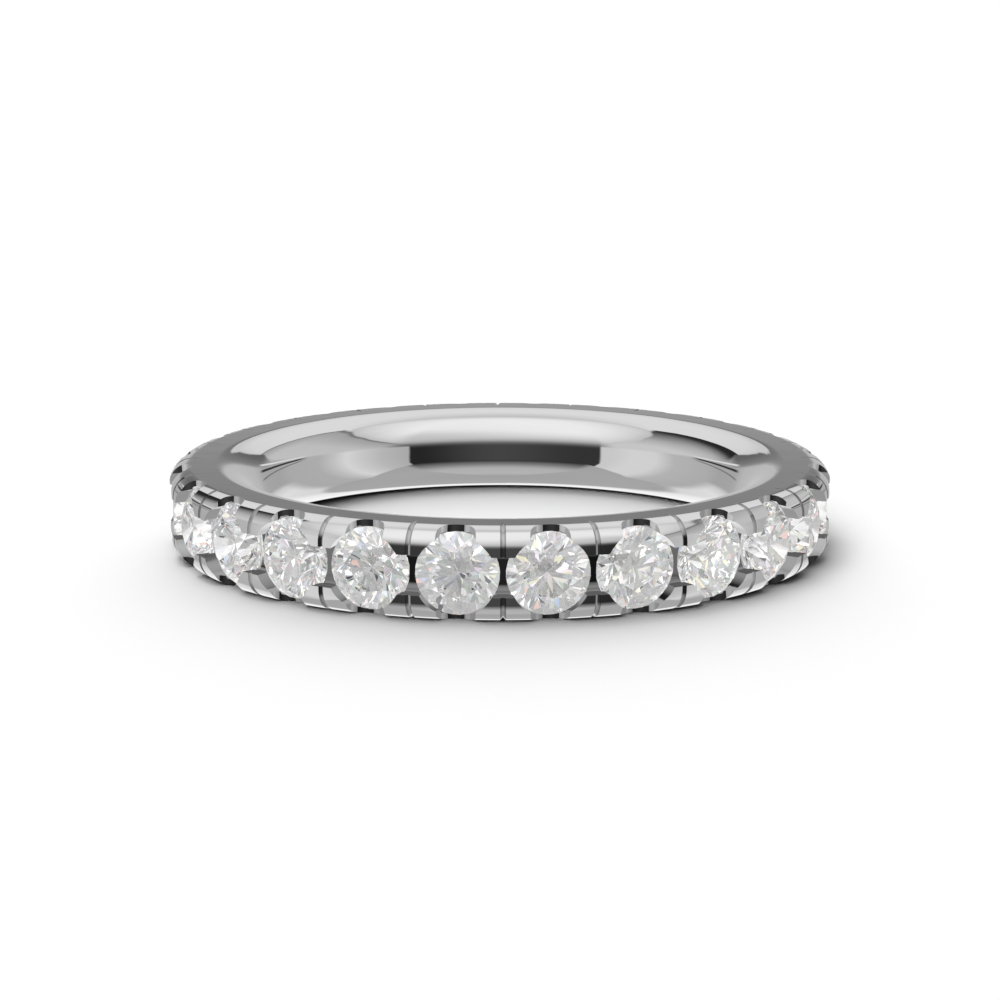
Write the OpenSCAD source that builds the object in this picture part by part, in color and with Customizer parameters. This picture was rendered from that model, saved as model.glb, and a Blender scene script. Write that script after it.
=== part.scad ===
// Full eternity ring: one court-shaped band and a whole circle of round brilliants.
// Every stone sits in a blind seat, with its edge under four prong tips.
// A channel round the middle and a groove between the stones split the wall into prongs,
// and a scallop across the band opens both sides of every stone.
// The ring lies on one side face. Z runs along the finger, and the origin is on the
// bore's axis in the plane of that face. The groove between the last stone and the
// first one faces -Y.

/* [Finger bore] */
// Diameter of the finger bore at its narrowest, in the middle of the band
bore_d = 16.9; // [15:0.1:20]
// Radius that rolls the bore over into each side face
court_r = 1.35; // [1.1:0.05:1.45]

/* [Band] */
// Radial thickness of the band
band_t = 2.95; // [2.8:0.05:3.3]
// Width of the band along the finger
band_w = 3; // [2.95:0.05:3.4]
// Radius of the two outer corners
corner_r = 0.75; // [0.5:0.05:0.85]

/* [Stones] */
// Diameter of each stone at its girdle
stone_d = 2.65; // [2.3:0.05:2.7]
// Smallest gap between the girdles of two neighbours
stone_gap = 0.16; // [0.14:0.01:0.3]
// Depth of the girdles below the outer wall
stone_sink = 0.6; // [0.5:0.05:0.75]
// Angle that each stone is turned on its own axis from the one before it, in degrees
stone_turn = 17; // [0:1:45]

/* [Cut of the stones] */
// Width of the table as a share of the stone's diameter
table_share = 0.54; // [0.5:0.01:0.62]
// Slope of the crown's eight main facets, in degrees
crown_angle = 34.5; // [30:0.5:36]
// Slope of the pavilion's eight main facets, in degrees
pavilion_angle = 40.8; // [39:0.2:42]
// Reach of the star facets as a share of the way from table to girdle
star_share = 0.5; // [0.4:0.05:0.6]
// Reach of the lower halves as a share of the way from girdle to culet
lower_share = 0.78; // [0.7:0.01:0.85]
// Thickness of the girdle as a share of the stone's diameter
girdle_share = 0.038; // [0.03:0.002:0.05]

/* [Seats] */
// Clearance between a stone and the metal round it
seat_clear = 0.04; // [0.03:0.005:0.05]
// Reach of the prong tips over the edge of a stone
prong_over = 0.03; // [0.01:0.01:0.08]

/* [Scallops] */
// Radius of the scallop across the band at each stone
scallop_r = 0.635; // [0.5:0.005:0.75]
// Depth of the scallop's floor below the outer wall
scallop_depth = 0.79; // [0.7:0.01:0.9]

/* [Channel between the prongs] */
// Height of the channel that parts the upper prongs from the lower ones
channel_h = 1.28; // [1:0.02:1.5]
// Depth of the channel below the outer wall
channel_depth = 0.85; // [0.7:0.05:1]
// Radius in the two corners of the channel's floor
channel_r = 0.3; // [0.1:0.05:0.4]

/* [Grooves] */
// Width of the V groove between two neighbouring prongs, where it opens on the wall
groove_w = 0.18; // [0.12:0.01:0.22]
// Depth of the groove in the outer wall
groove_depth = 0.1; // [0.08:0.01:0.18]
// Distance that the groove runs on to each side face before it tapers out
groove_run = 0.4; // [0.2:0.05:0.5]

/* [Hidden] */
// Radii of the bore, the outer wall and the circle of the girdles
bore_r = bore_d / 2;
outer_r = bore_r + band_t;
girdle_r = outer_r - stone_sink;
half_w = band_w / 2;
// As many stones as fit round the circle of the girdles
stone_n = floor(180 / atan((stone_d + stone_gap) / (2 * girdle_r)));
pitch = 360 / stone_n;
// The first groove faces -Y, and the first stone is half a pitch on from it
front = -90;
// Length by which a cut runs past the surface that it leaves
past = 1;
// Fragments of a full circle
$fn = 180;

// Sizes of one stone, from its girdle's middle plane and its own axis
stone_r = stone_d / 2;
girdle_h = girdle_share * stone_d / 2;
table_r = table_share * stone_r;
table_h = girdle_h + (stone_r - table_r) * tan(crown_angle);
culet_h = girdle_h + stone_r * tan(pavilion_angle);
// The eight main facets lie a main step apart, and a girdle facet spans a girdle step
main_step = 45;
half_step = main_step / 2;
girdle_step = main_step / 4;
// Tips of the star facets and of the lower halves, both on the planes of the mains
table_flat_r = table_r * cos(half_step);
star_r = table_flat_r + star_share * (stone_r - table_flat_r);
star_h = girdle_h + (stone_r - star_r * cos(half_step)) * tan(crown_angle);
lower_r = (1 - lower_share) * stone_r;
lower_h = girdle_h + (stone_r - lower_r * cos(half_step)) * tan(pavilion_angle);
// Dip of the girdle's edges midway between two of the crown's or the pavilion's corners
bulge = stone_r * (1 - cos(girdle_step)) / cos(girdle_step);
crown_dip = (star_h - girdle_h) * bulge / (stone_r - star_r);
pavilion_dip = (lower_h - girdle_h) * bulge / (stone_r - lower_r);

function stone_name(i) = str("stone_", i < 10 ? "0" : "", i);

// Puts a shape that stands on its own axis on stone i's axis, with the table outwards
module at_stone(i) {
  rotate([0, 0, front + (i - 0.5) * pitch])
    translate([girdle_r, 0, half_w])
      rotate([0, 90, 0])
        children();
}

// Section of the band in the plane of radius and height, the height from the middle
module band_section() {
  court_x = bore_r + court_r;
  corner_x = outer_r - corner_r;
  // Between the rolled edges and above them
  translate([court_x, -half_w]) square([corner_x - court_x, band_w]);
  translate([bore_r, court_r - half_w]) square([band_t, band_w - 2 * court_r]);
  translate([corner_x, corner_r - half_w]) square([corner_r, band_w - 2 * corner_r]);
  for (side = [-1, 1]) {
    translate([court_x, side * (half_w - court_r)]) circle(court_r);
    translate([corner_x, side * (half_w - corner_r)]) circle(corner_r);
  }
}

// Blind seat: a cone for the pavilion, a land at the girdle and a lip over the crown's edge
module seat() {
  land_r = stone_r + seat_clear;
  mouth_r = stone_r - prong_over;
  land_low = -girdle_h - seat_clear * (1 - sin(pavilion_angle)) / cos(pavilion_angle);
  land_high = girdle_h + seat_clear * (1 - sin(crown_angle)) / cos(crown_angle);
  lip_h = land_high + (land_r - mouth_r) * tan(crown_angle);
  rotate_extrude()
    polygon([
      [0, land_low - land_r * tan(pavilion_angle)],
      [land_r, land_low],
      [land_r, land_high],
      [mouth_r, lip_h],
      [mouth_r, stone_sink + past],
      [0, stone_sink + past]
    ]);
}

// Scallop: a round floor with straight walls above it, right across the band
module scallop() {
  centre_h = stone_sink - scallop_depth + scallop_r;
  rotate([0, 90, 0])
    linear_extrude(band_w + 2 * past, center = true) {
      translate([-centre_h, 0]) circle(scallop_r);
      translate([-stone_sink - past, -scallop_r])
        square([stone_sink + past - centre_h, 2 * scallop_r]);
    }
}

// Channel round the middle of the wall, with rounded corners in its floor
module channel() {
  floor_r = outer_r - channel_depth;
  open_r = outer_r + past;
  rotate_extrude() {
    translate([floor_r + channel_r, -channel_h / 2])
      square([open_r - floor_r - channel_r, channel_h]);
    translate([floor_r, channel_r - channel_h / 2])
      square([open_r - floor_r, channel_h - 2 * channel_r]);
    for (side = [-1, 1])
      translate([floor_r + channel_r, side * (channel_h / 2 - channel_r)]) circle(channel_r);
  }
}

// V of a groove from its floor outwards, drawn on past the wall with the same slopes
module notch() {
  notch_h = groove_depth + corner_r;
  open_w = groove_w * notch_h / groove_depth;
  polygon([[0, 0], [notch_h, open_w / 2], [notch_h, -open_w / 2]]);
}

// Upper half of a groove that faces +X: up the wall, round the corner on the corner's own
// centre, and on in a straight line that leaves through the side face
module half_groove() {
  floor_r = corner_r - groove_depth;
  // Way from the corner to the end of the run, along the straight part of the floor
  straight = sqrt(groove_run * groove_run + corner_r * corner_r - floor_r * floor_r);
  // Angle round the corner at which the floor turns straight
  lead = 90 - 2 * atan(groove_depth / (groove_run + straight));
  translate([outer_r - groove_depth, 0, 0])
    linear_extrude(half_w - corner_r)
      notch();
  translate([outer_r - corner_r, 0, half_w - corner_r]) {
    rotate([90, 0, 0])
      rotate_extrude(angle = lead)
        translate([floor_r, 0]) notch();
    // The straight line starts a little early, inside the cut round the corner
    rotate([0, -lead, 0])
      translate([floor_r, 0, -groove_depth])
        linear_extrude(groove_depth + straight + past)
          notch();
  }
}

// Grooves between the stones, one on each pitch
module grooves() {
  for (i = [0 : stone_n - 1])
    rotate([0, 0, front + i * pitch]) {
      half_groove();
      mirror([0, 0, 1]) half_groove();
    }
}

module band() {
  color("gainsboro")
    difference() {
      translate([0, 0, half_w]) rotate_extrude() band_section();
      for (i = [1 : stone_n])
        at_stone(i) {
          seat();
          scallop();
        }
      translate([0, 0, half_w]) channel();
      translate([0, 0, half_w]) grooves();
    }
}

// Point on a stone at a radius, an angle and a height
function polar(r, a, h) = [r * cos(a), r * sin(a), h];

// Heights of the girdle's edges: at its corners and dipped midway between them
function crown_edge(j) = girdle_h - (j % 2) * crown_dip;
function pavilion_edge(j) = -girdle_h + (j % 2) * pavilion_dip;

// Round brilliant on its own axis: table, 8 stars, 8 crown mains, 16 upper halves,
// 32 girdle facets, 16 lower halves and 8 pavilion mains
module brilliant() {
  mains = 8;
  girdles = 4 * mains;
  // First index of each ring of points: table, stars, crown edge, pavilion edge, lower tips
  star0 = mains;
  top0 = star0 + mains;
  low0 = top0 + girdles;
  tip0 = low0 + girdles;
  culet = tip0 + mains;
  points = concat(
    [for (k = [0 : mains - 1]) polar(table_r, k * main_step, table_h)],
    [for (k = [0 : mains - 1]) polar(star_r, k * main_step + half_step, star_h)],
    [for (j = [0 : girdles - 1]) polar(stone_r, j * girdle_step, crown_edge(j))],
    [for (j = [0 : girdles - 1]) polar(stone_r, j * girdle_step, pavilion_edge(j))],
    [for (k = [0 : mains - 1]) polar(lower_r, k * main_step + half_step, -lower_h)],
    [[0, 0, -culet_h]]
  );
  // Each facet lists its corners clockwise as seen from outside
  faces = concat(
    [[for (k = [mains - 1 : -1 : 0]) k]],
    [for (k = [0 : mains - 1]) [k, (k + 1) % mains, star0 + k]],
    [for (k = [0 : mains - 1]) [k, star0 + k, top0 + 4 * k, star0 + (k + mains - 1) % mains]],
    [for (k = [0 : mains - 1])
      [star0 + k, top0 + 4 * k + 2, top0 + 4 * k + 1, top0 + 4 * k]],
    [for (k = [0 : mains - 1])
      [star0 + k, top0 + 4 * ((k + 1) % mains), top0 + 4 * k + 3, top0 + 4 * k + 2]],
    [for (j = [0 : girdles - 1])
      [top0 + j, top0 + (j + 1) % girdles, low0 + (j + 1) % girdles, low0 + j]],
    [for (k = [0 : mains - 1])
      [tip0 + k, low0 + 4 * k, low0 + 4 * k + 1, low0 + 4 * k + 2]],
    [for (k = [0 : mains - 1])
      [tip0 + k, low0 + 4 * k + 2, low0 + 4 * k + 3, low0 + 4 * ((k + 1) % mains)]],
    [for (k = [0 : mains - 1]) [culet, tip0 + (k + mains - 1) % mains, low0 + 4 * k, tip0 + k]]
  );
  polyhedron(points, faces);
}

module stone(i) {
  color("white") at_stone(i) rotate([0, 0, i * stone_turn]) brilliant();
}

band();
for (i = [1 : stone_n])
  stone(i);
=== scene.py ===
# %% [markdown]
# # A full eternity ring
# The ring is one band of polished white gold with a whole circle of small brilliants. The
# imported model already holds every solid, in metres, lying on one side face with the finger's
# axis along +Z. This lesson gives the solids their light, their polish and their fire.

# %% Frame
import math

import bpy
import numpy as np
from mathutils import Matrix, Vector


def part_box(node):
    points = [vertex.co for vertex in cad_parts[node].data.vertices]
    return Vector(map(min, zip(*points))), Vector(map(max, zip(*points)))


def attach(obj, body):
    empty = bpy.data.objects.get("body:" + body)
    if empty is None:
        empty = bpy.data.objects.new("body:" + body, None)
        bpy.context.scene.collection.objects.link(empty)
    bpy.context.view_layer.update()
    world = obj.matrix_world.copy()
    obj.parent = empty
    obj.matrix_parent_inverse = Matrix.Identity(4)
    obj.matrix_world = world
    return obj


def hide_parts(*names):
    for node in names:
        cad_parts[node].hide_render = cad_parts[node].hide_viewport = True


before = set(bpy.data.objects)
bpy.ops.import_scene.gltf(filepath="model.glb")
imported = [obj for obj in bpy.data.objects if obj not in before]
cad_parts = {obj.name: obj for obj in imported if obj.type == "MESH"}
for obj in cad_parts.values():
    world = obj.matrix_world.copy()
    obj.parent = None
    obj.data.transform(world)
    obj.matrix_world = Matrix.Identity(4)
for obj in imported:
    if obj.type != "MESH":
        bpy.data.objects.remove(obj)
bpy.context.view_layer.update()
STONES = sorted(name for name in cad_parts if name.startswith("stone_"))
print("nodes:", len(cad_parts), "stones:", len(STONES))

# %% [markdown]
# ## Sizes that the looks follow
# A material can only follow a form if it knows where the form is. The few radii below are
# those of the band's own section, in metres. The box of the band gives its width and tells
# how high it lies.

# %% Sizes
MM = 0.001
BAND_LOW, BAND_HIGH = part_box("band")
OUTER_R = 11.4 * MM
HALF_W = (BAND_HIGH.z - BAND_LOW.z) / 2
CORNER_R = 0.75 * MM
COURT_R = 1.35 * MM
BORE_R = 8.45 * MM
print("outer radius", OUTER_R, "half width", HALF_W)

# %% [markdown]
# ## Camera
# A ring is small, so a product photographer stands close and low: 97 mm from the middle of
# the ring and 12 degrees above its plane. The long lens keeps the circle's near and far side
# in a calm proportion. The angle and the distance were found by fitting the ring's edges and
# grooves to the photograph.

# %% Camera
VIEW_HEIGHT = math.radians(12.19)
VIEW_TURN = math.radians(-0.49)
VIEW_DISTANCE = 97.36 * MM
# Width of the sensor and length of the lens, both in the millimetres of a camera's data
SENSOR = 36.0
LENS = 100.94
# Nearest and farthest distance that the camera sees, in metres
CLIP = (5 * MM, 20.0)


def add_camera():
    """The direction to the camera is (sin a cos e, -cos a cos e, sin e) for turn a, height e."""
    data = bpy.data.cameras.new("camera")
    camera = bpy.data.objects.new("camera", data)
    bpy.context.scene.collection.objects.link(camera)
    data.sensor_width = SENSOR
    data.lens = LENS
    data.clip_start, data.clip_end = CLIP
    flat = math.cos(VIEW_HEIGHT) * VIEW_DISTANCE
    camera.location = (
        math.sin(VIEW_TURN) * flat,
        -math.cos(VIEW_TURN) * flat,
        HALF_W + math.sin(VIEW_HEIGHT) * VIEW_DISTANCE,
    )
    camera.rotation_euler = (math.pi / 2 - VIEW_HEIGHT, 0, VIEW_TURN)
    bpy.context.scene.camera = camera
    return camera


camera = add_camera()
print("camera at", [round(v / MM, 2) for v in camera.location], "mm")

# %% [markdown]
# ## Shader maths as plain expressions
# Long chains of Math nodes are hard to read. A small class wraps a socket and overloads the
# operators, so that `1 - mask` adds a node by itself. Any other node comes from one method,
# which takes the node's type, its settings and the values or links of its sockets.

# %% Wires and trees
# The Mix node has sockets of one name for each data type, so those for colour go by number
MIX_MASK, MIX_FIRST, MIX_SECOND, MIX_RESULT = 0, 6, 7, 2


class Wire:
    """A socket of a node tree that can be added, subtracted, multiplied and divided."""

    def __init__(self, tree, socket):
        self.tree = tree
        self.socket = socket

    def math(self, operation, *others):
        values = dict(enumerate((self, *others)))
        return self.tree.node("ShaderNodeMath", {"operation": operation}, values)

    def __add__(self, other):
        return self.math("ADD", other)

    def __sub__(self, other):
        return self.math("SUBTRACT", other)

    def __mul__(self, other):
        return self.math("MULTIPLY", other)

    def __truediv__(self, other):
        return self.math("DIVIDE", other)

    def __rsub__(self, other):
        return self.tree.node("ShaderNodeMath", {"operation": "SUBTRACT"}, {0: other, 1: self})

    __radd__ = __add__
    __rmul__ = __mul__

    def others(self):
        """All the outputs of the node that this socket belongs to."""
        return [Wire(self.tree, socket) for socket in self.socket.node.outputs]

    def step(self, low, high):
        """Smooth rise from 0 at low to 1 at high."""
        values = {"Value": self, "From Min": low, "From Max": high}
        return self.tree.node("ShaderNodeMapRange", {"interpolation_type": "SMOOTHSTEP"}, values)

    def between(self, first, second):
        """Value that is first where this mask is 0 and second where it is 1."""
        return self * (second - first) + first


class Tree:
    """The nodes of a material or a world."""

    def __init__(self, owner):
        owner.use_nodes = True
        self.nodes = owner.node_tree.nodes
        self.links = owner.node_tree.links
        self.nodes.clear()

    def node(self, kind, settings=None, values=None, output=0):
        """Adds a node: its settings first, then the values or links of its sockets."""
        made = self.nodes.new(kind)
        for name, setting in (settings or {}).items():
            if name == "stops":
                self.set_stops(made.color_ramp, setting)
            else:
                setattr(made, name, setting)
        for name, value in (values or {}).items():
            socket = made.inputs[name]
            if isinstance(value, Wire):
                self.links.new(value.socket, socket)
            else:
                socket.default_value = value
        return Wire(self, made.outputs[output]) if len(made.outputs) else made

    @staticmethod
    def set_stops(ramp, stops):
        """Stops are (place from 0 to 1, grey level or colour)."""
        while len(ramp.elements) < len(stops):
            ramp.elements.new(1.0)
        for element, (place, level) in zip(ramp.elements, stops):
            element.position = place
            element.color = (level, level, level, 1) if np.isscalar(level) else (*level, 1)

    def grey(self, level):
        """Colour with the same level in red, green and blue."""
        parts = {"Red": level, "Green": level, "Blue": level}
        return self.node("ShaderNodeCombineColor", values=parts)

    def split(self, vector):
        """The three coordinates of a vector."""
        return self.node("ShaderNodeSeparateXYZ", values={"Vector": vector}).others()

    def split_colour(self, colour):
        """The red, green and blue of a colour."""
        return self.node("ShaderNodeSeparateColor", values={"Color": colour}).others()

    def ray(self, *names):
        """Outputs of the Light Path node by name."""
        found = self.node("ShaderNodeLightPath").socket.node.outputs
        return [Wire(self, found[name]) for name in names]

    def blend(self, mask, first, second):
        """Colour mix: first where the mask is 0, second where it is 1."""
        values = {MIX_MASK: mask, MIX_FIRST: first, MIX_SECOND: second}
        return self.node("ShaderNodeMix", {"data_type": "RGBA"}, values, output=MIX_RESULT)


def ramp(value, stops):
    """Level at a value, on straight lines between the stops (value, level)."""
    low, high = stops[0][0], stops[-1][0]
    levels = [level for _, level in stops]
    least, span = min(levels), max(levels) - min(levels)
    places = [((at - low) / (high - low), (level - least) / span) for at, level in stops]
    place = (value - low) / (high - low)
    share = value.tree.node("ShaderNodeValToRGB", {"stops": places}, {"Fac": place})
    return share * span + least


print("helpers ready")

# %% [markdown]
# ## The studio above
# Polished metal has no colour of its own: it shows the room. The room could be built of lamps
# and cards, but a ring mirrors all of it at once and each card would have to be cut to shape.
# So the room is painted on the world by compass direction and by height, and needs no geometry.
# Compass directions are in degrees from the front, positive to the right, and heights in
# degrees above the horizon. Where a change runs from one such number to another, there is
# nothing of it at the first number and all of it at the second. This is the upper part:
#
# - a white dome overhead, whose edge climbs from the front round the sides to the back;
# - a pale wall behind;
# - a grey wing between the wall and each side, darker on the left.

# %% Dome, wall and wings
# Height of the dome's edge and of the wings' upper edge by compass direction
DOME_EDGE = [(0, 10), (50, 19), (90, 44), (120, 54), (140, 65), (160, 71), (180, 73)]
WING_EDGE = [
    (0, 10), (50, 19), (90, 44), (118, 54), (128, 54),
    (136, 48), (140, 43), (150, 28), (157, 15), (180, 15),
]
# How much further round the edges lie on the right, and from where to where that comes in
RIGHT_LAG = 7.5
LAG_FADE = (125, 105)
# Level of the dome by height above its edge, and by height at the front on either side
DOME = [(0, 0.53), (6, 0.66), (12, 0.74), (20, 0.82), (30, 0.88), (80, 0.9)]
FRONT_LEFT = [
    (10, 0), (15, 0.03), (20, 0.17), (26, 0.42), (34, 0.66), (44, 0.83), (52, 0.89), (90, 0.9),
]
FRONT_RIGHT = [
    (10, 0), (15, 0.03), (20, 0.15), (26, 0.41), (32, 0.53), (44, 0.62), (60, 0.85), (90, 0.9),
]
# Half the reach of the change from left to right at the front, and from where to where the
# front gives way to the rest
FRONT_REACH = 50
FRONT_END = (46, 62)
# Level straight overhead, and the heights between which it takes over
ZENITH_LEVEL = 0.88
ZENITH = (76, 88)
# Level of the wall behind by height
WALL = [(18, 0.56), (24, 0.67), (36, 0.73), (54, 0.74), (70, 0.6), (90, 0.6)]
# Level of the wings by depth below their upper edge. The left one's levels lie lower by some
# degrees of height for each degree that a direction is further back than the middle one
WING_LEFT = [(0, 0.02), (8, 0.045), (14, 0.12), (22, 0.24), (35, 0.45), (50, 0.6)]
WING_RIGHT = [(0, 0.12), (1.5, 0.22), (3, 0.37), (12, 0.46), (20, 0.54), (50, 0.57)]
WING_MIDDLE = 130
WING_SLANT = 0.8
# Half the softness of the dome's and of the wings' edge
DOME_SOFT = 1.5
WING_SOFT = 1


def upper_room(height, turn, compass, right):
    """Levels of the front's fade, and of the dome with the wall and the wings drawn over it."""
    front = turn.step(-FRONT_REACH, FRONT_REACH)
    front = front.between(ramp(height, FRONT_LEFT), ramp(height, FRONT_RIGHT))
    lagging = compass + right * compass.step(*LAG_FADE) * RIGHT_LAG
    above = height - ramp(lagging, DOME_EDGE)
    depth = ramp(lagging, WING_EDGE) - height
    slanted = depth + (turn + WING_MIDDLE) * WING_SLANT
    wing = right.between(ramp(slanted, WING_LEFT), ramp(depth, WING_RIGHT))
    sky = above.step(-DOME_SOFT, DOME_SOFT).between(ramp(height, WALL), ramp(above, DOME))
    sky = depth.step(-WING_SOFT, WING_SOFT).between(sky, wing)
    sky = compass.step(*FRONT_END).between(front, sky)
    return front, height.step(*ZENITH).between(sky, ZENITH_LEVEL)


print("dome's edge from", DOME_EDGE[0][1], "to", DOME_EDGE[-1][1], "degrees")

# %% [markdown]
# ## The studio below
# The lower part of the room gives the band its dark lines and its grey underside:
#
# - a dark card in front, which is mirrored as the band's black line;
# - a pale sheet at either side of the card;
# - a low lamp behind the ring, with a shade above it, up to the rim of the wall;
# - the table's cloth at the bottom.

# %% Card, sheets, lamp and cloth
# Half the width of the dark card in degrees, its growth with the square of the height, up to
# a limit, how far its middle lies to the left, and half the softness of its edge
CARD_HALF = 47.6
CARD_GROWTH = 0.0037
CARD_MOST = 3.0
CARD_SHIFT = 3.15
CARD_SOFT = 0.8
# Level of the card, how much it falls by this turn to the right and to the left, and where it
# ends upwards
CARD_LEVEL = 0.06
CARD_TURN = (0, 42)
CARD_FALL_RIGHT = 0.04
CARD_FALL_LEFT = 0.025
CARD_TOP = (24, 14)
# Level of the sheets at the sides and of the room behind them by compass direction
SIDE_LEFT = [
    (45, 0.6), (58, 0.62), (68, 0.68), (82, 0.67), (94, 0.48), (125, 0.42), (138, 0.35),
    (180, 0.38),
]
SIDE_RIGHT = [
    (45, 0.42), (60, 0.5), (80, 0.7), (88, 0.56), (98, 0.44), (125, 0.42), (138, 0.37),
    (180, 0.38),
]
# Lamp: level by height, where it begins by compass and by height, and its gain towards the back
LAMP = [(-50, 0.4), (-45, 0.7), (-30, 0.75), (-22, 0.62), (-17, 0.38)]
LAMP_SIDE = (118, 134)
LAMP_FOOT = (-50, -45)
LAMP_GAIN = 0.2
LAMP_BACK = (145, 160)
# How much lower the lower edges lie on the left, and where that begins
LEFT_DROP = 4.0
DROP_SIDE = (115, 140)
# Shade above the lamp: level by height, and where it begins by compass and by height
SHADE = [(11, 0.24), (13, 0.186), (15, 0.165), (17, 0.135), (20, 0.12)]
SHADE_SIDE = (138, 150)
SHADE_FOOT = (8, 11.5)
# Height of the lower edge of the sheets, its softness ahead and behind, and where that changes
CLOTH_EDGE = [(0, -34), (44, -33), (54, -38), (70, -46), (90, -53), (110, -50), (180, -47)]
CLOTH_SOFT = (1, 3)
CLOTH_BACK = (130, 150)
# Level of the cloth by height in front and elsewhere, and where one gives way to the other
CLOTH_FRONT = [(-90, 0.38), (-78, 0.48), (-60, 0.46), (-54, 0.38), (-46, 0.22), (-34, 0.03)]
CLOTH = [(-90, 0.38), (-60, 0.4), (-40, 0.38)]
CLOTH_SIDE = (46, 54)
# Height of the rim between the lower and the upper room, its softness ahead and behind, and
# where that changes
RIM = [
    (0, 16.5), (140, 16.5), (150, 22.5), (158, 21), (168, 19.3), (173, 18.5), (178, 15.6),
    (180, 15.2),
]
RIM_SOFT = (2.5, 0.7)
RIM_BACK = (140, 150)
# Half the reach of the change from left to right elsewhere than at the front
SIDE_REACH = 8


def dark_card(height, turn):
    """Level of the card, which falls to both sides and ends upwards."""
    to_right = turn.step(*CARD_TURN) * CARD_FALL_RIGHT
    to_left = (-1 * turn).step(*CARD_TURN) * CARD_FALL_LEFT
    return (CARD_LEVEL - to_right - to_left) * height.step(*CARD_TOP)


def side_sheets(height, low, compass, right):
    """Level of the sheets at the sides, with the lamp and its shade drawn over them."""
    sheet = right.between(ramp(compass, SIDE_LEFT), ramp(compass, SIDE_RIGHT))
    lamp = compass.step(*LAMP_SIDE) * low.step(*LAMP_FOOT)
    lit = ramp(height, LAMP) * (compass.step(*LAMP_BACK) * LAMP_GAIN + 1)
    shade = compass.step(*SHADE_SIDE) * height.step(*SHADE_FOOT)
    return shade.between(lamp.between(sheet, lit), ramp(height, SHADE))


def room_level(height, turn):
    """Grey level of the room at a height and at a compass direction, right positive."""
    compass = turn.math("ABSOLUTE")
    right = turn.step(-SIDE_REACH, SIDE_REACH)
    front, sky = upper_room(height, turn, compass, right)
    low = height + (1 - right) * compass.step(*DROP_SIDE) * LEFT_DROP
    growth = (height * height * CARD_GROWTH).math("MINIMUM", CARD_MOST)
    off_card = (turn + CARD_SHIFT).math("ABSOLUTE") - growth
    at_side = off_card.step(CARD_HALF - CARD_SOFT, CARD_HALF + CARD_SOFT)
    cloth = compass.step(*CLOTH_SIDE).between(ramp(height, CLOTH_FRONT), ramp(height, CLOTH))
    cloth_soft = compass.step(*CLOTH_BACK).between(*CLOTH_SOFT)
    over_cloth = ((low - ramp(compass, CLOTH_EDGE)) / cloth_soft).step(-1, 1)
    over_rim = (height - ramp(compass, RIM)) / compass.step(*RIM_BACK).between(*RIM_SOFT)
    ahead = over_cloth.between(cloth, dark_card(height, turn)) + front
    sheet = over_cloth.between(cloth, side_sheets(height, low, compass, right))
    aside = over_rim.step(-1, 1).between(sheet, sky)
    return at_side.between(ahead, aside)


print("dark card:", 2 * CARD_HALF, "degrees wide")

# %% [markdown]
# ## Lines in which the band mirrors itself
# The far inner wall of a real ring mirrors the near one as a few fine lines. They could be
# traced, but then they would follow every guess about the hidden walls. Here the band doesn't
# mirror itself, and the lines are painted into the room instead, low on either side of the
# back. From there the inner wall mirrors them about where the photograph shows them.

# %% Fine lines
# Each line: its height at the middle direction, how far it falls for each degree further
# round, half its width and its level
OWN_LINES = [(16.3, 0.14, 1.3, 0.75), (13.0, 0.23, 1.8, 0.03), (9.0, 0.36, 1.2, 0.19)]
LINES_MIDDLE = 117
# Compass directions between which the lines come in and go out, and the share of a line's
# width that isn't soft
LINES_IN = (106, 115)
LINES_OUT = (153, 147)
LINE_CORE = 0.4


def own_lines(room, height, compass):
    """Draws the fine lines over the room, each at a height that falls evenly round the back."""
    stretch = compass.step(*LINES_IN) * compass.step(*LINES_OUT)
    for middle, fall, half, level in OWN_LINES:
        away = (height + (compass - LINES_MIDDLE) * fall - middle).math("ABSOLUTE")
        room = (away.step(half, half * LINE_CORE) * stretch).between(room, level)
    return room


print("fine lines:", len(OWN_LINES))

# %% [markdown]
# ## Sparkle of the stones
# A brilliant breaks the light of a studio into small bright, dark and coloured panes. To get
# them from the room would take many small lamps. So a ray that comes out of a stone finds
# another sky: pale, in soft patches, with a few dark and a few tinted cells.

# %% Sparkle
# Level of the light inside the stones by soft noise, and how far red, green and blue part
PATCHES = [(0.28, 0.24), (0.42, 0.44), (0.55, 0.6), (0.62, 0.85), (0.68, 1.6)]
TINT_SOFT = 0.55
# Tints of a few cells, as stops by a random number of the cell
TINTS = [
    (0, (1.15, 0.73, 0.52)),
    (0.2, (0.9, 0.66, 0.7)),
    (0.4, (0.45, 0.62, 1.0)),
    (0.75, (1.1, 1.05, 0.78)),
]
DARK_CELL = (0.05, 0.05, 0.06, 1)
# Patches, hues and cells across the sky
PATCH_SCALE = 2.6
HUE_SCALE = 4.0
CELL_SCALE = 8.0
# Random numbers between which a cell turns tinted, and between which it turns dark
TINTED_FROM = (0.88, 0.9)
DARK_FROM = (0.06, 0.04)
# Directions to the left and right: where they begin, how much dimmer they are, and by how much
# more of their cells are tinted
SIDEWAYS = (0.55, 0.95)
SIDE_DIM = 0.15
SIDE_TINTED = 0.05


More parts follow.
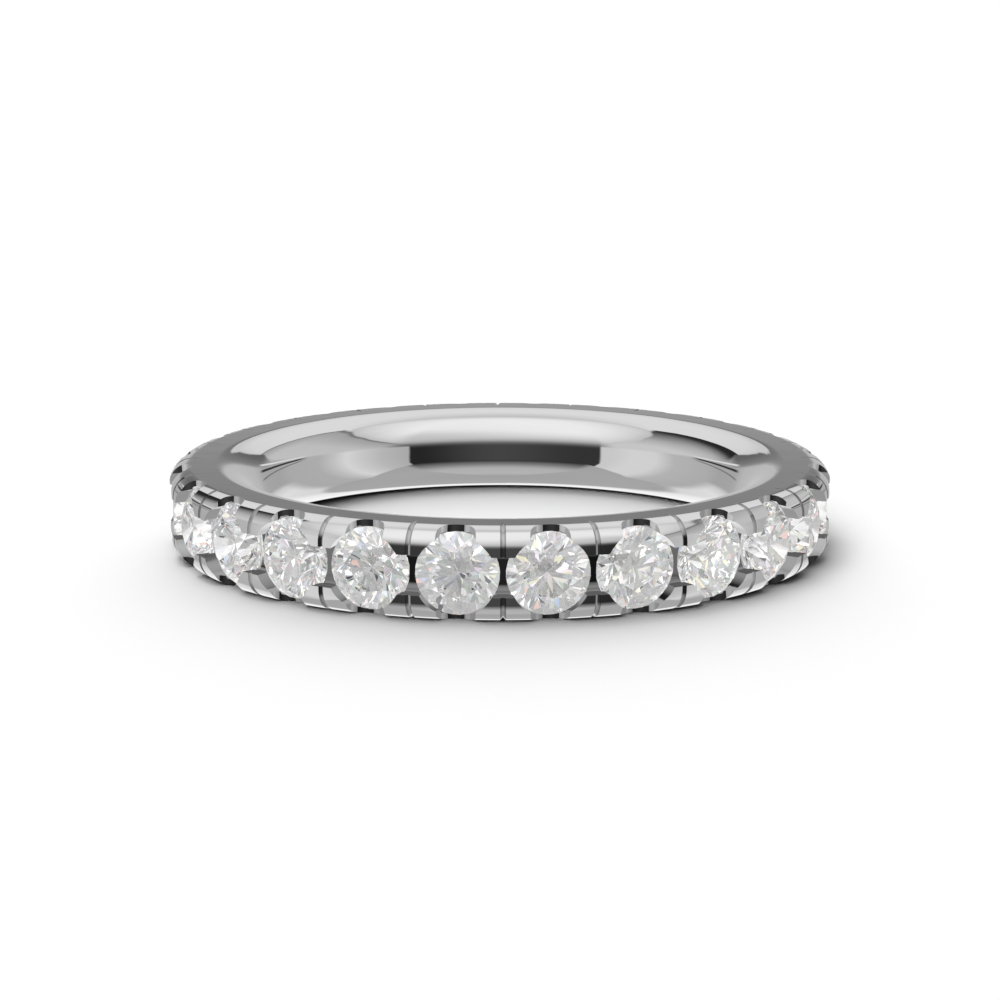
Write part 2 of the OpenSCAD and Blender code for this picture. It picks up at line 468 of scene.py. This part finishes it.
def sparkle(tree, direction):
    """Light that the stones send back: soft patches from noise, and cells by a random number."""
    across, _, _ = tree.split(direction)
    sideways = across.math("ABSOLUTE").step(*SIDEWAYS)
    patches = {"Vector": direction, "Scale": PATCH_SCALE, "Detail": 1.0}
    level = ramp(tree.node("ShaderNodeTexNoise", values=patches), PATCHES)
    level = level * (1 - sideways * SIDE_DIM)
    hues = {"Vector": direction, "Scale": HUE_SCALE}
    parts = tree.split_colour(tree.node("ShaderNodeTexNoise", values=hues, output="Color"))
    soft = [level * ((part - 0.5) * TINT_SOFT + 1) for part in parts]
    pale = tree.node("ShaderNodeCombineColor", values=dict(enumerate(soft)))
    cells = {"Vector": direction, "Scale": CELL_SCALE}
    cell = tree.node("ShaderNodeTexVoronoi", values=cells, output="Color")
    pick, hue, _ = tree.split_colour(cell)
    tint = tree.node("ShaderNodeValToRGB", {"stops": TINTS}, {"Fac": hue})
    tinted = (pick + sideways * SIDE_TINTED).step(*TINTED_FROM)
    return tree.blend(tinted, tree.blend(pick.step(*DARK_FROM), pale, DARK_CELL), tint)


print("tints of the sparkle:", len(TINTS))

# %% [markdown]
# ## The world
# The kind of ray decides what it finds. The camera sees a plain bright backdrop, and the
# metal sees the room. The floor is lit by a soft fill and three softboxes of its own, which
# were fitted to the shadow in the photograph and change nothing that the metal mirrors. The
# light that the ring would throw back onto the floor is left out, because the shadow is a
# little too pale even without it.

# %% World
DEGREE = math.pi / 180
# Share of the light that the metal returns, and how bright white is in the room. The room is
# brighter by as much as the metal takes
GOLD = 0.72
ROOM_WHITE = 0.93
ROOM_GAIN = ROOM_WHITE / GOLD
BACKDROP = 1.1
# Soft fill on the floor, and the softboxes: direction (right, back, up), narrowness and power
FILL = 0.05
SOFTBOXES = [
    ((0.0, 0.966, 0.259), 4, 3.55),
    ((-0.224, 0.13, 0.966), 20, 4.55),
    ((-0.354, -0.612, 0.707), 20, 4.45),
]
# A ray that has turned more often than this comes from inside a stone
STONE_DEPTH = 4.5


def floor_light(x, y, z):
    """The fill, and for each softbox power * cos(angle to it) ** narrowness."""
    light = FILL
    for (across, back, up), narrowness, power in SOFTBOXES:
        facing = (x * across + y * back + z * up).math("MAXIMUM", 0.0)
        light = facing.math("POWER", narrowness) * power + light
    return light


def add_world():
    """Height is asin z and the compass direction is atan2(x, -y) of the ray's direction."""
    world = bpy.data.worlds.new("studio")
    bpy.context.scene.world = world
    tree = Tree(world)
    direction = tree.node("ShaderNodeTexCoord", output="Generated")
    x, y, z = tree.split(direction)
    height = z.math("ARCSINE") / DEGREE
    turn = x.math("ARCTAN2", y * -1.0) / DEGREE
    room = own_lines(room_level(height, turn), height, turn.math("ABSOLUTE")) * ROOM_GAIN
    is_camera, is_diffuse, refracted, depth, scattered = tree.ray(
        "Is Camera Ray", "Is Diffuse Ray", "Is Transmission Ray", "Ray Depth", "Diffuse Depth"
    )
    from_stone = refracted.math("MAXIMUM", depth.math("GREATER_THAN", STONE_DEPTH))
    level = is_diffuse.between(is_camera.between(room, BACKDROP), floor_light(x, y, z))
    light = tree.blend(from_stone, tree.grey(level), sparkle(tree, direction))
    # 1 for what the ring would throw back onto the floor, and 0 for all other light
    off_ring = scattered.math("MINIMUM", 1.0) - is_diffuse
    values = {"Color": light, "Strength": off_ring * -1.0 + 1.0}
    shader = tree.node("ShaderNodeBackground", values=values)
    tree.node("ShaderNodeOutputWorld", values={"Surface": shader})
    # Without this, the floor would take part of its light from the room
    world.cycles.sampling_method = "NONE"


add_world()
bpy.context.scene.view_settings.view_transform = "Standard"
print("studio:", len(bpy.context.scene.world.node_tree.nodes), "nodes")

# %% [markdown]
# ## Floor
# The ring lies on a plain pale sheet, far wider than the view. A sheet of one face is enough,
# because nothing bends or sinks. The metal doesn't mirror it: the painted room already holds
# the cloth that the metal shows.

# %% Floor
FLOOR_SIZE = 4.0
SHEET = (0.9, 0.9, 0.9, 1)


def add_floor():
    """One square face at the height of the band's lower side face."""
    mesh = bpy.data.meshes.new("floor")
    half = FLOOR_SIZE / 2
    low = BAND_LOW.z
    corners = [(-half, -half, low), (half, -half, low), (half, half, low), (-half, half, low)]
    mesh.from_pydata(corners, [], [(0, 1, 2, 3)])
    floor = bpy.data.objects.new("floor", mesh)
    bpy.context.scene.collection.objects.link(floor)
    material = bpy.data.materials.new("pale_sheet")
    tree = Tree(material)
    shader = tree.node("ShaderNodeBsdfDiffuse", values={"Color": SHEET})
    tree.node("ShaderNodeOutputMaterial", values={"Surface": shader})
    mesh.materials.append(material)
    floor.visible_glossy = False
    return floor


floor = add_floor()
print("floor at height", floor.data.vertices[0].co.z)

# %% [markdown]
# ## True normals of the band's skin
# A jeweller polishes the band until it mirrors the room in long unbroken lines. The solid's
# mesh has thousands of small flat triangles, so each corner of a triangle needs the normal of
# the true surface. A subdivided mesh would only round it off. But the band is a section
# carried round a circle: from the height above the middle and the distance to the axis, every
# normal follows by a formula.

# %% Section of the band
# A corner of a triangle belongs to the skin up to this distance from the section
SKIN_REACH = 0.02 * MM
CORNER_AT = OUTER_R - CORNER_R
COURT_AT = BORE_R + COURT_R
# Least length that anything is divided by
LEAST_LENGTH = 1e-12


def section_normal(points):
    """Outward normal (nr, nz) and distance to the band's section at points (radius, height).

    Outside the corner circles' centre line the normal points away from that centre. On the
    finger side its rise is height / half width, so the light runs on without a break.
    """
    r, h = points[..., 0], points[..., 1]
    inside = r < COURT_AT
    rise = np.clip(h / HALF_W, -1, 1)
    past_corner = np.maximum(np.abs(h) - (HALF_W - CORNER_R), 0)
    dr = np.where(inside, -np.sqrt(1 - rise**2), np.maximum(r - CORNER_AT, 0))
    dz = np.where(inside, rise, np.sign(h) * past_corner)
    length = np.maximum(np.hypot(dr, dz), LEAST_LENGTH)
    land = HALF_W - COURT_R
    court = np.hypot(r - COURT_AT, np.maximum(np.abs(h) - land, 0)) - COURT_R
    off = np.abs(np.where(inside, court, length - CORNER_R))
    return np.stack([dr, dz], -1) / length[..., None], off


print("skin within", SKIN_REACH / MM, "mm of the section")

# %% [markdown]
# ## The polished band
# The solid itself stays as it is. A copy of its mesh, with equal points merged, gets the true
# normals on its skin, and the seats and scallops keep their own. A groove is softly rounded by
# the polish, so its normals lean from its flat flanks to the skin's. One attribute holds painted
# shade for each corner in a seat, a scallop, the channel or a groove, because little light gets
# in there; the material darkens the colour by it, in seats and scallops more below the middle.

# %% Polished band
# Points nearer than this are merged
MERGE = 1e-4 * MM
# Least double area that a triangle's normal is divided by
LEAST_AREA = 1e-20
# Cosine of the largest angle between a skin triangle and the true surface
SKIN_FACING = 0.97
# Depth, half width and slack of a groove, and how far its normals lean to the skin's
GROOVE_DEPTH = 0.1 * MM
GROOVE_HALF = 0.095 * MM
GROOVE_SLACK = 1.2
GROOVE_LEAN = 0.75
# Painted shade above and below the middle, deeper below towards the floor, and how much less of
# it there is on walls that face along the band
SEAT_SHADE = 0.6
SEAT_ALONG = 0.4
LOW_SHADE = 0.85
LOW_ALONG = 0.3
# Painted shade in the channel and half the channel's height, and painted shade at a groove's
# edge and how much less of it there is at the groove's floor
CHANNEL_SHADE = 1.05
CHANNEL_HALF = 0.64 * MM
GROOVE_SHADE = 0.95
GROOVE_EASE = 0.5
PITCH = 2 * math.pi / len(STONES)


def merged_triangles(mesh):
    """Corner points and corner normals of a mesh's triangles, with equal vertices merged."""
    places = np.empty(len(mesh.vertices) * 3)
    mesh.vertices.foreach_get("co", places)
    corners = np.empty(len(mesh.loops), int)
    mesh.loops.foreach_get("vertex_index", corners)
    normals = np.empty(len(mesh.loops) * 3)
    mesh.corner_normals.foreach_get("vector", normals)
    _, first, same = np.unique(
        np.round(places.reshape(-1, 3) / MERGE), axis=0, return_index=True, return_inverse=True
    )
    triangles = same.ravel()[corners].reshape(-1, 3)
    a, b, c = triangles.T
    whole = (a != b) & (b != c) & (c != a)
    return places.reshape(-1, 3)[first], triangles[whole], normals.reshape(-1, 3, 3)[whole]


def groove_mask(corners, radius, off):
    """Triangles near the section whose corners lie close to a whole pitch round the axis."""
    turn = np.arctan2(corners[..., 1], corners[..., 0]) + math.pi / 2
    aside = np.abs(turn - np.round(turn / PITCH) * PITCH) * radius
    shallow = (off.max(1) < GROOVE_DEPTH * GROOVE_SLACK) & (radius.min(1) > COURT_AT)
    return shallow & (aside.max(1) < GROOVE_HALF)


def recess_shade_depth(flat, outward, height, off, skin, groove):
    """Painted shade at each corner, less by the share |fy x - fx y| / r that faces along the
    band.
    """
    along = np.abs(flat[:, None, 1] * outward[..., 0] - flat[:, None, 0] * outward[..., 1])
    low, high = LOW_SHADE - LOW_ALONG * along, SEAT_SHADE - SEAT_ALONG * along
    depth = np.where(height < 0, low, high)
    depth[np.abs(height).max(1) < CHANNEL_HALF + SKIN_REACH] = CHANNEL_SHADE
    depth[skin] = 0
    depth[groove] = GROOVE_SHADE - GROOVE_EASE * np.clip(off[groove] / GROOVE_DEPTH, 0, 1)
    return depth


def polished_copy(node):
    """The section's normal (nr, nz) is carried round as (nr x / r, nr y / r, nz)."""
    places, triangles, normals = merged_triangles(node.data)
    corners = places[triangles]
    height = corners[..., 2] - HALF_W - BAND_LOW.z
    radius = np.hypot(corners[..., 0], corners[..., 1])
    true, off = section_normal(np.stack([radius, height], -1))
    outward = corners[..., :2] / radius[..., None]
    true = np.concatenate([true[..., :1] * outward, true[..., 1:]], -1)
    flat = np.cross(corners[:, 1] - corners[:, 0], corners[:, 2] - corners[:, 0])
    flat /= np.maximum(np.linalg.norm(flat, axis=1, keepdims=True), LEAST_AREA)
    middle = true.mean(1)
    middle /= np.linalg.norm(middle, axis=1, keepdims=True)
    skin = (off.max(1) < SKIN_REACH) & ((middle * flat).sum(1) > SKIN_FACING)
    normals[skin] = true[skin]
    groove = ~skin & groove_mask(corners, radius, off)
    leaned = true[groove] * GROOVE_LEAN + normals[groove] * (1 - GROOVE_LEAN)
    normals[groove] = leaned / np.linalg.norm(leaned, axis=-1, keepdims=True)
    # Painted shade for the recesses, which the material reads from an attribute
    depth = recess_shade_depth(flat, outward, height, off, skin, groove)
    mesh = bpy.data.meshes.new("polished_band")
    mesh.from_pydata(places.tolist(), [], triangles.tolist())
    mesh.polygons.foreach_set("use_smooth", np.ones(len(triangles), bool))
    mesh.normals_split_custom_set(normals.reshape(-1, 3).tolist())
    recess = mesh.attributes.new("recess", "FLOAT", "CORNER")
    recess.data.foreach_set("value", depth.astype(np.float32).ravel())
    piece = bpy.data.objects.new("polished_band", mesh)
    bpy.context.scene.collection.objects.link(piece)
    print("band:", len(triangles), "triangles, skin:", skin.sum(), "grooves:", groove.sum())
    return piece


band = polished_copy(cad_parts["band"])
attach(band, "root")
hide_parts("band")
band.visible_glossy = False

# %% [markdown]
# ## Polished white gold
# White gold is a plain grey mirror, but no polish is perfect. The wheel leaves hair lines that
# run round the band, and the metal under it is very slightly wavy, by about a thousandth of a
# millimetre. Both could be modelled, but they are far too fine for it, so they come from noise
# on the band's own coordinates: the lines vary the roughness and the waves go through a Bump
# node. In the seats, the channel and the grooves the wheel can't reach, so the metal is duller
# there, and little light gets in, so its colour is darkened there as painted shade, less so on
# walls that face along the band. Two things are settled by the kind of ray: seen through a
# stone the seat has a faint painted glow, and the floor gets no light back from the band.

# %% White gold
# Share of the light that is left at the bottom of a recess, painted into the colour as shade
SHADED_LEVEL = 0.3
# Painted glow, an emission that stands in for the light a stone leaves in its seat, seen only
# through the stone
SEAT_GLOW = 0.5
# Hair lines per metre across the polish, what share of that there is round the band, and by
# how much they change the level
HAIR_LINES = 9000.0
HAIR_ROUND = 0.03
HAIR_CONTRAST = 0.04
# Roughness of the polish, what a hair line adds (by noise from nothing to all of it) and what
# a recess adds
POLISH_ROUGH = 0.015
HAIR_ROUGH = 0.05
HAIR_NOISE = (0.45, 0.8)
RECESS_ROUGH = 0.08
# Waves per metre and their height
WAVES = 1100.0
WAVE_HEIGHT = 0.0012 * MM


def polish(tree):
    """Noise of the hair lines (stretched round the axis) and of the waves, each from 0 to 1."""
    place = tree.node("ShaderNodeTexCoord", output="Object")
    x, y, z = tree.split(place)
    radius = (x * x + y * y).math("SQRT")
    axes = {"X": x * HAIR_ROUND, "Y": y * HAIR_ROUND, "Z": radius + z}
    around = tree.node("ShaderNodeCombineXYZ", values=axes)
    lines = {"Vector": around, "Scale": HAIR_LINES, "Detail": 3.0}
    waves = {"Vector": place, "Scale": WAVES, "Detail": 1.0}
    return [tree.node("ShaderNodeTexNoise", values=values) for values in (lines, waves)]


def white_gold():
    material = bpy.data.materials.new("white_gold")
    tree = Tree(material)
    recess = tree.node("ShaderNodeAttribute", {"attribute_name": "recess"}, output="Fac")
    lines, waves = polish(tree)
    through_stone, from_floor = tree.ray("Is Transmission Ray", "Is Diffuse Ray")
    # Painted shade: the colour darkens in the recesses, but not where it is seen through a stone
    dark = recess * (1 - through_stone)
    streaks = lines * HAIR_CONTRAST + (1 - HAIR_CONTRAST / 2)
    level = dark.between(GOLD, GOLD * SHADED_LEVEL) * streaks * (1 - from_floor)
    bump = {"Strength": 1.0, "Distance": WAVE_HEIGHT, "Height": waves}
    values = {
        "Base Color": tree.grey(level),
        "Metallic": 1.0,
        "Roughness": lines.step(*HAIR_NOISE) * HAIR_ROUGH + recess * RECESS_ROUGH + POLISH_ROUGH,
        "Normal": tree.node("ShaderNodeBump", values=bump),
        # Painted glow of the seat, seen only through a stone
        "Emission Color": tree.grey(through_stone * SEAT_GLOW),
        "Emission Strength": 1.0,
    }
    shader = tree.node("ShaderNodeBsdfPrincipled", values=values)
    tree.node("ShaderNodeOutputMaterial", values={"Surface": shader})
    return material


def dress(piece, material):
    """Gives a piece this one material."""
    piece.data.materials.clear()
    piece.data.materials.append(material)


dress(band, white_gold())
print("white gold:", len(band.data.materials[0].node_tree.nodes), "nodes")

# %% [markdown]
# ## Brilliants
# A brilliant is clear, but its facets turn the light round inside it several times before they
# let it out again, so it looks full of small bright and dark panes. The solid has all of the
# facets, so clear glass with the refraction of diamond does most of the work, and faint noise
# gives it the last traces of polishing. Three things are settled by the kind of ray:
#
# - a ray that has turned several times is let out straight, before the renderer drops it;
# - light that leaves a stone finds the sparkle of the studio and the painted glow of its seat;
# - the polished band doesn't mirror the stones. In the photograph it does so in a few small
#   reflections, which are left out here.

# %% Brilliants
# Refraction of diamond
DIAMOND_IOR = 2.42
# A ray leaves the stone after this many turns inside it
LAST_TURN = 4
# Polishing marks per metre on the facets, by how much they take light, and the most that they
# blur (by noise from nothing to all of it)
FACET_MARKS = 2500.0
FACET_LOSS = 0.03
FACET_BLUR = 0.012
FACET_NOISE = (0.5, 0.8)
# Counts and yes-or-no values are told apart halfway between two of them
HALF = 0.5


def brilliant():
    material = bpy.data.materials.new("brilliant")
    tree = Tree(material)
    place = tree.node("ShaderNodeTexCoord", output="Object")
    polishing = {"Vector": place, "Scale": FACET_MARKS, "Detail": 2.0}
    marks = tree.node("ShaderNodeTexNoise", values=polishing)
    clear_stone = {
        "Base Color": tree.grey(1 - marks * FACET_LOSS),
        "Roughness": marks.step(*FACET_NOISE) * FACET_BLUR,
        "IOR": DIAMOND_IOR,
        "Transmission Weight": 1.0,
    }
    glass = tree.node("ShaderNodeBsdfPrincipled", values=clear_stone)
    is_glossy, passed, turns = tree.ray("Is Glossy Ray", "Transparent Depth", "Glossy Depth")
    inside = tree.node("ShaderNodeNewGeometry", output="Backfacing")
    unseen = is_glossy * (1 - inside).math("MAXIMUM", passed.math("GREATER_THAN", HALF))
    let_out = unseen.math("MAXIMUM", turns.math("GREATER_THAN", LAST_TURN - HALF))
    straight = tree.node("ShaderNodeBsdfTransparent")
    # The two shader sockets have one name, so they go by number
    shader = tree.node("ShaderNodeMixShader", values={0: let_out, 1: glass, 2: straight})
    tree.node("ShaderNodeOutputMaterial", values={"Surface": shader})
    return material


stone_finish = brilliant()
for name in STONES:
    dress(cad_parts[name], stone_finish)
print("brilliant:", len(stone_finish.node_tree.nodes), "nodes on", len(STONES), "stones")
